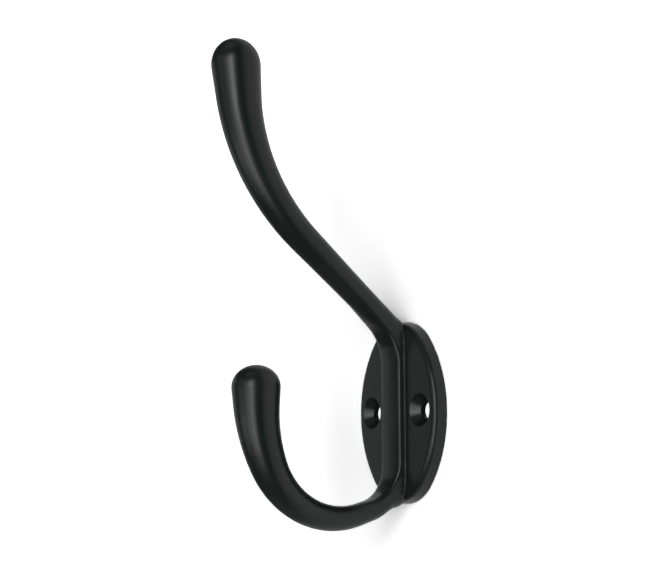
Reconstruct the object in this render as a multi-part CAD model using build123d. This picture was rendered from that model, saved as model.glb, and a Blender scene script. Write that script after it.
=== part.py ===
from build123d import *
import math
import os

# Hat and coat hook, cast in one piece: an oval wall plate with a low upright rib, a long hat prong
# that rises out of the rib and a short coat prong that turns up below it.
# +X is to the right, +Y goes into the wall and +Z is up. The origin is the middle of the plate's
# back face, which lies on the wall at y = 0, so the prongs reach out towards -Y. Millimetres.

# Wall plate
PLATE_WIDTH = 34.8          # across the plate at the wall
PLATE_HEIGHT = 47.0         # up the plate at the wall
PLATE_THICKNESS = 3.5       # at the middle of the plate
PLATE_DRAFT = 0.5           # how much the edge leans in towards the front, on each side
PLATE_END_RADIUS = 13.9     # of the oval's upper and lower ends, between its two wider sides
PLATE_EDGE_ROUND = 1.4      # round on the edge of the face

# Screw holes
SCREW_SPACING = 21.4        # between the two screw holes, which lie level with the plate's middle
SCREW_HOLE = 4.2            # straight bore through the plate
SCREW_HEAD = 8.4            # mouth of the countersink
SCREW_CONE_ANGLE = 90.0     # whole angle of the countersink

# Upright rib on the plate, which both prongs grow out of
RIB_WIDTH = 8.2             # across the rib, above the hollow at its foot
RIB_RISE = 1.6              # how far the rib's corners stand in front of the plate
RIB_CROWN = 0.2             # further rise at the middle of its front
RIB_AXIS_DEPTH = 2.5        # from the wall to the line that the prongs' middle lines start from
RIB_LEAN = 0.45             # how far the rib's sides lean out, from its corners down to the plate
FOOT_SPREAD = 0.25          # how far the small hollow at the rib's foot spreads beyond that
FOOT_HEIGHT = 0.3           # of that hollow above the plate
RIB_BACK = 4.5              # how far the rib's section reaches back from that line, into the plate
RIB_SQUARENESS = 9.0        # exponent of the rib's rounded section, where 2 is an oval
FOOT_RUN = 7.7              # how far along each root bend the rib keeps its foot, up to the plate's end
FOOT_FADE = 4.0             # run over which the foot then shrinks into the prong
BLEND_LENGTH = 22.0         # run over which the rib's square front turns into the round prong

# Hat prong: out of the rib, up a straight slope and through one wide bend to the tip
HAT_ROOT_HEIGHT = 19.6      # where its slope meets the rib's axis
HAT_ROOT_BEND = 15.0        # bend radius out of the rib
HAT_SLOPE = 39.0            # degrees above level
HAT_CORNER_REACH = 47.2     # from the wall to the corner that the wide bend rounds off
HAT_BEND = 52.0             # radius of the wide bend
HAT_TIP_LEAN = 6.5          # degrees that the tip leans away from the wall
HAT_TIP_HEIGHT = 84.0       # where the rounded cap starts
HAT_TIP_RADIUS = 6.15
HAT_ROOT_RADIUS = 3.3
HAT_TAPER = 2.1             # exponent of the taper from root to tip
HAT_CAP_LENGTH = 6.7        # from the start of the cap to its top

# Coat prong: out of the rib, down a gentle slope and through two bends to the tip
COAT_ROOT_DEPTH = 22.6      # where its slope meets the rib's axis, below the plate's middle
COAT_ROOT_BEND = 12.3       # bend radius out of the rib
COAT_SLOPE = 14.5           # degrees below level
COAT_LOW_REACH = 33.3       # from the wall to the corner of the tighter bend
COAT_LOW_BEND = 21.5        # radius of the tighter bend
COAT_HIGH_REACH = 43.35     # from the wall to the corner of the wider bend
COAT_HIGH_DROP = 5.9        # of that corner, below the plate's middle
COAT_HIGH_BEND = 40.0       # radius of the wider bend
COAT_TIP_LEAN = 2.2         # degrees that the tip leans away from the wall
COAT_TIP_HEIGHT = 4.5       # where the rounded cap starts
COAT_TIP_RADIUS = 5.9
COAT_ROOT_RADIUS = 2.2
COAT_TAPER = 1.52
COAT_CAP_LENGTH = 5.3

# Clearances
CUT_MARGIN = 1.0            # by which a cutter passes the faces that it cuts through
SHORTEST_LEG = 0.5          # straight that stays between two bends of a prong

# How finely the prongs are described
BEND_PIECE = 3.2            # at most, along one loft of a bend
SLOPE_PIECE = 5.0           # at most, along one loft of a straight stretch
LOFT_STEPS = 2              # spacings between the sections of one loft
SECTION_POINTS = 44         # around one section
SIDE_FOCUS = 0.6            # how much closer together they are at the two sides of the rib, as a share
CAP_RINGS = 5               # steps from the start of a cap to its top
CAP_LAST_TURN = 84.0        # degrees above its widest ring, where a tiny flat ends the cap


def place(reach, height):
    """A point in the middle plane, by its distance from the wall and its height."""
    return Vector(0, -reach, height)


def hat_corners():
    """Corners of the hat prong's middle line, from the rib's axis to the tip."""
    root = place(RIB_AXIS_DEPTH, HAT_ROOT_HEIGHT)
    climb = (HAT_CORNER_REACH - RIB_AXIS_DEPTH) * math.tan(math.radians(HAT_SLOPE))
    corner_height = HAT_ROOT_HEIGHT + climb
    lean = (HAT_TIP_HEIGHT - corner_height) * math.tan(math.radians(HAT_TIP_LEAN))
    return [root, place(HAT_CORNER_REACH, corner_height), place(HAT_CORNER_REACH + lean, HAT_TIP_HEIGHT)]


def coat_corners():
    """Corners of the coat prong's middle line, from the rib's axis to the tip."""
    root = place(RIB_AXIS_DEPTH, -COAT_ROOT_DEPTH)
    fall = (COAT_LOW_REACH - RIB_AXIS_DEPTH) * math.tan(math.radians(COAT_SLOPE))
    low = place(COAT_LOW_REACH, -COAT_ROOT_DEPTH - fall)
    lean = (COAT_TIP_HEIGHT + COAT_HIGH_DROP) * math.tan(math.radians(COAT_TIP_LEAN))
    high = place(COAT_HIGH_REACH, -COAT_HIGH_DROP)
    return [root, low, high, place(COAT_HIGH_REACH + lean, COAT_TIP_HEIGHT)]


def bends_that_fit(corners, bends):
    """The bend radius at each corner, smaller where the bends at both ends of a leg would meet."""
    points = [place(RIB_AXIS_DEPTH, 0)] + corners
    legs = [end - start for start, end in zip(points, points[1:])]
    room = [bend * math.tan(math.radians(before.get_angle(after)) / 2)
            for bend, before, after in zip(bends, legs, legs[1:])]
    taken = [start + end for start, end in zip([0] + room, room + [0])]
    fit = [min(1, (leg.length - SHORTEST_LEG) / used) for leg, used in zip(legs, taken)]
    return [bend * min(before, after) for bend, before, after in zip(bends, fit, fit[1:])]


def share(low, high, amount):
    """The value that lies this share of the way from low to high."""
    return low + (high - low) * amount


def ease(amount):
    """0 to 1 with level ends."""
    amount = min(max(amount, 0.0), 1.0)
    return amount * amount * (3 - 2 * amount)


def section(plane, radius, rib, foot):
    """Section of a prong: round where rib and foot are 0. With rib it gets the rib's width and squarer
    front, and with foot the rib's deeper back and the spread of its sides down to the plate."""
    half_width = share(radius, RIB_WIDTH / 2, rib)
    front = share(radius, PLATE_THICKNESS + RIB_RISE - RIB_AXIS_DEPTH, rib)
    back = share(radius, RIB_BACK, foot)
    squareness = share(2.0, RIB_SQUARENESS, rib)
    points = []
    for index in range(SECTION_POINTS):
        even_turn = math.pi / 2 + 2 * math.pi * index / SECTION_POINTS
        turn = even_turn - SIDE_FOCUS * rib * math.sin(2 * even_turn) / 2
        across, deep = math.cos(turn), math.sin(turn)
        depth, exponent = (back, 2.0) if deep > 0 else (front, squareness)
        reach = (abs(across / half_width) ** exponent + abs(deep / depth) ** exponent) ** (-1 / exponent)
        y = reach * deep - RIB_CROWN * rib * max(-deep, 0) ** 2
        in_front = -plane.from_local_coords(Vector(0, y)).Y - PLATE_THICKNESS
        lean = RIB_LEAN * (1 - min(max(in_front / RIB_RISE, 0), 1))
        hollow = FOOT_SPREAD * (1 - min(max(in_front / FOOT_HEIGHT, 0), 1)) ** 2
        points.append(((reach + foot * (lean + hollow)) * across, y))
    even = [index / SECTION_POINTS for index in range(SECTION_POINTS + 1)]
    return plane * make_face(Edge.make_spline(points, periodic=True, parameters=even))


class Prong:
    """One prong: its middle line, which starts at the middle of the rib, its taper and its cap."""

    def __init__(self, right, corners, bends, root_radius, tip_radius, taper, cap_length):
        self.right = right
        radii = bends_that_fit(corners, bends)
        self.line = FilletPolyline(place(RIB_AXIS_DEPTH, 0), *corners, radius=radii)
        self.straight = self.line.edges()[0].length
        self.root_radius = root_radius
        self.tip_radius = tip_radius
        self.taper = taper
        self.cap_length = cap_length

    def plane(self, run):
        """Plane across the prong, with Z along it towards the tip and Y towards the wall's side."""
        origin = self.line.position_at(run, PositionMode.LENGTH)
        direction = self.line.tangent_at(run, PositionMode.LENGTH)
        return Plane(origin=origin, x_dir=(self.right, 0, 0), z_dir=direction)

    def shaft_section(self, run):
        """Section between the rib and the cap, this far along the middle line."""
        beyond = max(run - self.straight, 0)
        along = beyond / (self.line.length - self.straight)
        radius = share(self.root_radius, self.tip_radius, along ** self.taper)
        rib = 1 - ease(beyond / BLEND_LENGTH)
        foot = 1 - ease((beyond - FOOT_RUN) / FOOT_FADE)
        return section(self.plane(run), radius, rib, foot)

    def shaft(self):
        """Short lofts, one after another, along each straight and each bend from rib to cap."""
        rib, *others = self.line.edges()
        lofts = [loft([self.shaft_section(0), self.shaft_section(rib.length)], ruled=True)]
        start = rib.length
        for edge in others:
            longest = SLOPE_PIECE if edge.geom_type == GeomType.LINE else BEND_PIECE
            steps = math.ceil(edge.length / longest) * LOFT_STEPS
            runs = [start + edge.length * step / steps for step in range(steps + 1)]
            sections = [self.shaft_section(run) for run in runs]
            firsts = range(0, steps, LOFT_STEPS)
            lofts += [loft(sections[first:first + LOFT_STEPS + 1]) for first in firsts]
            start += edge.length
        return lofts

    def cap(self):
        """Rounded end, part of an ellipsoid that carries on the slope of the taper."""
        slope = self.taper * (self.tip_radius - self.root_radius) / (self.line.length - self.straight)
        start = math.atan(slope * self.cap_length / self.tip_radius)
        rings = []
        for index in range(CAP_RINGS + 1):
            turn = share(-start, math.radians(CAP_LAST_TURN), index / CAP_RINGS)
            radius = self.tip_radius * math.cos(turn) / math.cos(start)
            height = self.cap_length * (math.sin(turn) + math.sin(start))
            rings.append(section(self.plane(self.line.length).offset(height), radius, 0, 0))
        return loft(rings)


def oval():
    """Outline of the plate: a wide arc on each side and a tighter one at each end, all tangent."""
    end_height = PLATE_HEIGHT / 2 - PLATE_END_RADIUS
    excess = PLATE_WIDTH / 2 - PLATE_END_RADIUS
    side_reach = (end_height ** 2 - excess ** 2) / (2 * excess)
    side_radius = side_reach + PLATE_WIDTH / 2
    turn = math.degrees(math.atan2(end_height, side_reach))
    right = CenterArc((-side_reach, 0), side_radius, -turn, 2 * turn)
    left = CenterArc((side_reach, 0), side_radius, 180 - turn, 2 * turn)
    top = CenterArc((0, end_height), PLATE_END_RADIUS, turn, 180 - 2 * turn)
    bottom = CenterArc((0, -end_height), PLATE_END_RADIUS, 180 + turn, 180 - 2 * turn)
    return make_face(Wire([right, top, left, bottom]))


def plate():
    """Oval plate with drafted sides and a rounded edge on its face."""
    draft = math.degrees(math.atan(PLATE_DRAFT / PLATE_THICKNESS))
    body = extrude(Plane.XZ * oval(), PLATE_THICKNESS, taper=draft)
    face = body.faces().sort_by(Axis.Y)[0]
    return fillet(face.edges(), PLATE_EDGE_ROUND)


def screw_hole(x):
    """Straight bore with a countersink that opens at the plate's face."""
    cone_depth = (SCREW_HEAD - SCREW_HOLE) / 2 / math.tan(math.radians(SCREW_CONE_ANGLE / 2))
    bore_depth = PLATE_THICKNESS - cone_depth
    half = make_face(Polyline(
        (0, CUT_MARGIN), (SCREW_HOLE / 2, CUT_MARGIN), (SCREW_HOLE / 2, -bore_depth),
        (SCREW_HEAD / 2, -PLATE_THICKNESS), (SCREW_HEAD / 2, -PLATE_THICKNESS - CUT_MARGIN),
        (0, -PLATE_THICKNESS - CUT_MARGIN), close=True))
    return Pos(x, 0, 0) * revolve(half, Axis.Y)


def prongs():
    """Both prongs and the rib between them, each with a rounded cap on its end."""
    hat = Prong(1, hat_corners(), [HAT_ROOT_BEND, HAT_BEND],
                HAT_ROOT_RADIUS, HAT_TIP_RADIUS, HAT_TAPER, HAT_CAP_LENGTH)
    coat = Prong(-1, coat_corners(), [COAT_ROOT_BEND, COAT_LOW_BEND, COAT_HIGH_BEND],
                 COAT_ROOT_RADIUS, COAT_TIP_RADIUS, COAT_TAPER, COAT_CAP_LENGTH)
    stretches = hat.shaft() + [hat.cap()] + coat.shaft() + [coat.cap()]
    whole = stretches[0].fuse(*stretches[1:])
    behind = Box(PLATE_WIDTH, RIB_BACK, PLATE_HEIGHT, align=(Align.CENTER, Align.MIN, Align.CENTER))
    return whole - behind


def casting():
    """The whole hook."""
    body = plate() + prongs()
    for side in (-1, 1):
        body -= screw_hole(side * SCREW_SPACING / 2)
    return body


if __name__ == "__main__":
    os.makedirs("parts", exist_ok=True)
    export_step(casting(), "parts/hook_casting.step")
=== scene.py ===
# %% [markdown]
# # A cast hat and coat hook
# The hook is one zinc casting with a satin black powder coat: an oval plate for the wall, a rib up
# the middle of it, a long prong for a hat and a short one for a coat. Its whole shape comes from the
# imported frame, so this lesson is about the things around a shape: where the camera stands, how a
# powder coat is built from nodes, and how a dark satin surface is lit so that its form can be read.

import math

import bpy
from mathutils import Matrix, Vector

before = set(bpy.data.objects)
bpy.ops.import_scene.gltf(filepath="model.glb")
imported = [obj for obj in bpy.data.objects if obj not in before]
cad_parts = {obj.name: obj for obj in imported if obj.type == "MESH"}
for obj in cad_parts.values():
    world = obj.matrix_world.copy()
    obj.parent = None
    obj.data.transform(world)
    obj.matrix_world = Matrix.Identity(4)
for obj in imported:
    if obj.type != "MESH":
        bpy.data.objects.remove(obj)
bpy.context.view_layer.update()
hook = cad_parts["hook_casting"]

# %% [markdown]
# ## Where directions are measured
# Everything stands in the hook's own frame: +X to the right, +Y into the wall, +Z up, in metres. A
# camera or a lamp is easiest to place by two angles. Azimuth 0 is straight in front of the wall and
# grows towards +X, and elevation is the height above level. One helper turns the two angles into a
# place, and another turns an object so that its lens or its light points at the hook.

# %% Place and aim by two angles
HOOK_MIDDLE = Vector((0, -0.022368, 0.029377))


def around(azimuth, elevation, distance):
    """The point at this distance from the hook's middle, in this direction from it."""
    turn = math.radians(azimuth)
    lift = math.radians(elevation)
    direction = Vector((math.sin(turn) * math.cos(lift), -math.cos(turn) * math.cos(lift), math.sin(lift)))
    return HOOK_MIDDLE + distance * direction


def aim(thing):
    """Turns a camera or lamp to look at the hook's middle, with its own Y axis upwards."""
    thing.rotation_euler = (HOOK_MIDDLE - thing.location).to_track_quat("-Z", "Y").to_euler()


# %% [markdown]
# ## The camera
# The photograph was taken from slightly below and from the right of someone who faces the wall, close
# enough for the prongs' tips to look larger. Fitting a camera to the plate's oval and to the two
# screw holes gave the distance and the lens together: about a quarter of a metre, with a short
# portrait lens. With the sensor left at its usual 36 mm, the lens is the focal length in pixels times
# 36 over the picture's 665 pixels.

# %% Make the camera
CAMERA_AZIMUTH = 58.65
CAMERA_ELEVATION = -9.41
CAMERA_DISTANCE = 0.254112
PICTURE_WIDTH = 665
FOCAL_PIXELS = 999.9
SENSOR_WIDTH = 36.0
NEAREST_SEEN = 0.01

bpy.ops.object.camera_add(location=around(CAMERA_AZIMUTH, CAMERA_ELEVATION, CAMERA_DISTANCE))
camera = bpy.context.object
camera.name = "photo_camera"
camera.data.sensor_width = SENSOR_WIDTH
camera.data.lens = FOCAL_PIXELS * SENSOR_WIDTH / PICTURE_WIDTH
camera.data.clip_start = NEAREST_SEEN
aim(camera)
bpy.context.scene.camera = camera
print("camera lens", round(camera.data.lens, 2), "mm at", [round(v, 3) for v in camera.location])

# %% [markdown]
# ## The powder coat
# Powder is sprayed on dry and melts into a film. The film flows out almost flat but keeps a fine
# orange peel, with waves of about a millimetre, and a slight unevenness in its gloss. So the coat is
# one dielectric shader with a nearly black colour that leans a little to green. A broad noise makes
# the colour and the gloss drift a little, and two fine noises make the peel and its grain, which
# reach the shader as bump. They read Object coordinates, so the pattern stays on the metal from every
# side. The molten film also rounds each crease by a few tenths of a millimetre, which a Bevel node
# does to the light.

# %% A short way to add and join nodes
NODE_STEP = 200


class Nodes:
    """Adds nodes to one tree, laid out from left to right, and joins their sockets."""

    def __init__(self, tree):
        self.tree = tree
        self.count = 0

    def add(self, kind, inputs=None, **settings):
        """A new node with its settings, and with each input set to a value or joined to a socket."""
        node = self.tree.nodes.new("ShaderNode" + kind)
        node.location = (NODE_STEP * self.count, 0)
        self.count += 1
        for name, value in settings.items():
            setattr(node, name, value)
        for name, value in (inputs or {}).items():
            if isinstance(value, bpy.types.NodeSocket):
                self.tree.links.new(value, node.inputs[name])
            else:
                node.inputs[name].default_value = value
        return node


def new_material(name):
    """A material with no nodes yet, and the helper that adds them."""
    material = bpy.data.materials.new(name)
    material.use_nodes = True
    material.node_tree.nodes.clear()
    return material, Nodes(material.node_tree)


# %% [markdown]
# ## The coat's values
# A noise's scale is its number of waves in a metre, so 900 is a wave of about a millimetre. The bumps'
# heights are in metres and stay far below a tenth of a millimetre once their strength is applied,
# since a powder coat shows its peel only where a highlight ends.

# %% Build the powder coat
COAT_DARK = (0.0048, 0.0095, 0.0080, 1)
COAT_LIGHT = (0.0083, 0.0150, 0.0127, 1)
DRIFT_SCALE = 55.0
DRIFT_LOW = 0.3
DRIFT_HIGH = 0.7
ROUGHNESS_LOW = 0.27
ROUGHNESS_HIGH = 0.33
PEEL_SCALE = 900.0
PEEL_STRENGTH = 0.12
PEEL_HEIGHT = 0.0001
GRAIN_SCALE = 4200.0
GRAIN_STRENGTH = 0.08
GRAIN_HEIGHT = 0.00003
CREASE_ROUND = 0.00035
CREASE_SAMPLES = 6
FILM_IOR = 1.5

coat, nodes = new_material("satin_black_coat")
place = nodes.add("TexCoord").outputs["Object"]


def noise(scale, detail, roughness):
    """A noise that is fixed to the metal."""
    inputs = {"Vector": place, "Scale": scale, "Detail": detail, "Roughness": roughness}
    return nodes.add("TexNoise", inputs).outputs["Fac"]


drift = noise(DRIFT_SCALE, detail=3.0, roughness=0.55)
peel = noise(PEEL_SCALE, detail=2.0, roughness=0.45)
grain = noise(GRAIN_SCALE, detail=2.0, roughness=0.6)
tint = nodes.add("ValToRGB", {"Fac": drift})
dark_end, light_end = tint.color_ramp.elements
dark_end.position = DRIFT_LOW
dark_end.color = COAT_DARK
light_end.position = DRIFT_HIGH
light_end.color = COAT_LIGHT
gloss = nodes.add("MapRange", {"Value": drift, "From Min": DRIFT_LOW, "From Max": DRIFT_HIGH,
                               "To Min": ROUGHNESS_LOW, "To Max": ROUGHNESS_HIGH})
creases = nodes.add("Bevel", {"Radius": CREASE_ROUND}, samples=CREASE_SAMPLES)
waves = nodes.add("Bump", {"Height": peel, "Strength": PEEL_STRENGTH, "Distance": PEEL_HEIGHT,
                           "Normal": creases.outputs["Normal"]})
surface = nodes.add("Bump", {"Height": grain, "Strength": GRAIN_STRENGTH, "Distance": GRAIN_HEIGHT,
                             "Normal": waves.outputs["Normal"]})
shader = nodes.add("BsdfPrincipled", {"Base Color": tint.outputs["Color"], "IOR": FILM_IOR,
                                      "Roughness": gloss.outputs["Result"],
                                      "Normal": surface.outputs["Normal"]})
nodes.add("OutputMaterial", {"Surface": shader.outputs["BSDF"]})
hook.data.materials.clear()
hook.data.materials.append(coat)
print("coat on", hook.name, "with", len(hook.data.polygons), "faces")

# %% [markdown]
# ## A white for the wall and the floor
# The hook is shown on plain white. A white wall stands just behind the plate and catches the soft
# shadow of the prongs, and a white floor lies far below. Both are a diffuse white that the camera
# sees about twice as bright, as an overexposed backdrop is, so that only the deepest part of the
# shadow is left of it. Far from the lamps, a glow that only the camera sees keeps them white.
#
# What the hook mirrors of the wall is painted shade: to rays other than the camera's, the wall's
# white is painted darker outwards, so that the greys mirrored on the prongs' right sides are brightest
# close to the plate. The painted fall-off runs from the first of two distances from the plate's middle
# to the second. To those rays the wall also glows a little, a painted glow for the light it bounces.

# %% White that the camera sees as white
WHITE = 0.86
WHITE_TO_CAMERA = 1.93
FALL_OFF_START = 0.03
FALL_OFF_END = 0.40


def white_backing(name, glow_near, glow_far, painted_shade_far, painted_glow, clear_from_behind):
    """Diffuse white. To the camera it also glows, from glow_near close to the hook to glow_far.
    To other rays its white is painted darker outwards to painted_shade_far, a painted shade, and it glows a
    little by bounce, a painted glow."""
    material, nodes = new_material(name)
    by_camera = nodes.add("LightPath").outputs["Is Camera Ray"]
    place = nodes.add("TexCoord").outputs["Object"]
    away = nodes.add("VectorMath", {0: place}, operation="LENGTH").outputs["Value"]

    def outwards(near, far):
        """A value that changes from near to far with the distance from the plate's middle."""
        inputs = {"Value": away, "From Min": FALL_OFF_START, "From Max": FALL_OFF_END,
                  "To Min": near, "To Max": far}
        return nodes.add("MapRange", inputs).outputs["Result"]

    # To rays other than the camera's, the white is painted darker outwards from the plate: painted shade.
    white = nodes.add("Mix", {"Factor": by_camera, "A": outwards(WHITE, painted_shade_far), "B": WHITE_TO_CAMERA})
    # To rays other than the camera's, the wall glows a little: a painted glow, not a lamp.
    glow = nodes.add("Mix", {"Factor": by_camera, "A": painted_glow, "B": outwards(glow_near, glow_far)})
    diffuse = nodes.add("BsdfDiffuse", {"Color": white.outputs["Result"]})
    emission = nodes.add("Emission", {"Color": white.outputs["Result"], "Strength": glow.outputs["Result"]})
    shader = nodes.add("AddShader", {0: diffuse.outputs[0], 1: emission.outputs[0]})
    if clear_from_behind:
        behind = nodes.add("NewGeometry").outputs["Backfacing"]
        see_through = nodes.add("Math", {0: by_camera, 1: behind}, operation="MULTIPLY")
        clear = nodes.add("BsdfTransparent")
        ends = {0: see_through.outputs[0], 1: shader.outputs[0], 2: clear.outputs[0]}
        shader = nodes.add("MixShader", ends)
    nodes.add("OutputMaterial", {"Surface": shader.outputs[0]})
    return material


print("white falls off from", FALL_OFF_START, "to", FALL_OFF_END, "m")

# %% [markdown]
# ## The wall and the floor
# The wall does two things for other views. To a camera behind it, it is clear, and it has an oval
# window hidden behind the plate, so that the plate's back can be seen and the screw holes show white.
# It starts as the window's outline, a circle one unit across that is resized to the window's width and
# height. Each ring that is extruded from it is larger than the last, out to several metres.

# %% Make the wall with its oval window, and the floor
WALL_GAP = 0.0002
WINDOW_WIDTH = 0.0320
WINDOW_HEIGHT = 0.0442
WINDOW_SIDES = 64
RING_GROWTHS = (1.5, 3.0, 5.0, 5.0)
FLOOR_SIZE = 4.0
FLOOR_HEIGHT = -1.2

bpy.ops.mesh.primitive_circle_add(vertices=WINDOW_SIDES, radius=0.5, fill_type="NOTHING")
wall = bpy.context.object
wall.name = "wall"
bpy.ops.object.mode_set(mode="EDIT")
bpy.ops.mesh.select_all(action="SELECT")
bpy.ops.transform.resize(value=(WINDOW_WIDTH, WINDOW_HEIGHT, 1))
for growth in RING_GROWTHS:
    bpy.ops.mesh.extrude_region_move()
    bpy.ops.transform.resize(value=(growth, growth, 1))
bpy.ops.object.mode_set(mode="OBJECT")
wall.rotation_euler = (math.radians(90), 0, 0)
wall.location = (0, WALL_GAP, 0)
bpy.ops.object.transform_apply(location=True, rotation=True, scale=True)
# Far out, the wall's white to reflected rays is painted down to 0.35, a painted shade, and its painted glow
# to them is 0.18.
wall_white = white_backing(
    "wall_white", glow_near=0.01, glow_far=0.54, painted_shade_far=0.35, painted_glow=0.18, clear_from_behind=True)
wall.data.materials.append(wall_white)

bpy.ops.mesh.primitive_plane_add(size=FLOOR_SIZE, location=(0, -FLOOR_SIZE / 2, FLOOR_HEIGHT))
floor = bpy.context.object
floor.name = "floor"
floor_white = white_backing(
    "floor_white", glow_near=1.1, glow_far=1.1, painted_shade_far=WHITE, painted_glow=0.0, clear_from_behind=False)
floor.data.materials.append(floor_white)
print("wall with", len(wall.data.polygons), "faces and floor ready")

# %% [markdown]
# ## The lamps
# A dark satin surface shows its shape through what it mirrors. In the photograph one tall soft box
# stands to the right of the wall's middle, so that every upright round carries one long soft stripe.
# The stripe ends sharply towards the camera, where the room is dark, and fades slowly on its other
# side. So the tall box has weaker and wider ones beside it, and a small one at its top for the
# countersinks and the prongs' ends. A low, wide one stands for a pale table in front of the wall, and
# a dim one far to the left gives the flat plate its grey. One overhead and one behind the wall are for
# views from above and from behind.

# %% Place the soft boxes
# name, azimuth and elevation in degrees, distance, width and height in metres, power in watts
SOFT_BOXES = [
    ("tall_box", 42, -1, 0.9, 0.28, 1.1, 2.6),
    ("box_top", 36, 11, 0.85, 0.24, 0.36, 0.54),
    ("side_glow", 22, -6, 0.9, 0.30, 1.1, 1.15),
    ("wide_glow", -8, 5, 0.9, 0.70, 0.9, 0.6),
    ("table_glow", 4, -22, 0.9, 1.20, 0.3, 0.95),
    ("left_fill", -72, 2, 1.1, 0.75, 0.8, 0.74),
    ("top_fill", 10, 65, 1.1, 0.7, 0.7, 0.4),
    ("back_fill", 200, 20, 1.0, 0.6, 0.6, 4.0),
]


def softbox(name, azimuth, elevation, distance, width, height, power):
    """A rectangular lamp that faces the hook."""
    bpy.ops.object.light_add(type="AREA", location=around(azimuth, elevation, distance))
    lamp = bpy.context.object
    lamp.name = name
    lamp.data.shape = "RECTANGLE"
    lamp.data.size = width
    lamp.data.size_y = height
    lamp.data.energy = power
    aim(lamp)


for box in SOFT_BOXES:
    softbox(*box)

# %% [markdown]
# ## The room
# The world is white where the camera looks at it, and a dim grey for everything else.

# %% Set the world
ROOM_TO_CAMERA = 1.0
ROOM_TO_OTHER_RAYS = 0.05

world = bpy.data.worlds.new("room")
bpy.context.scene.world = world
world.use_nodes = True
world.node_tree.nodes.clear()
nodes = Nodes(world.node_tree)
by_camera = nodes.add("LightPath").outputs["Is Camera Ray"]
strength = nodes.add("MapRange", {"Value": by_camera, "To Min": ROOM_TO_OTHER_RAYS, "To Max": ROOM_TO_CAMERA})
background = nodes.add("Background", {"Color": (1, 1, 1, 1), "Strength": strength.outputs["Result"]})
nodes.add("OutputWorld", {"Surface": background.outputs[0]})
bpy.context.scene.view_settings.view_transform = "Standard"
print("world ready")
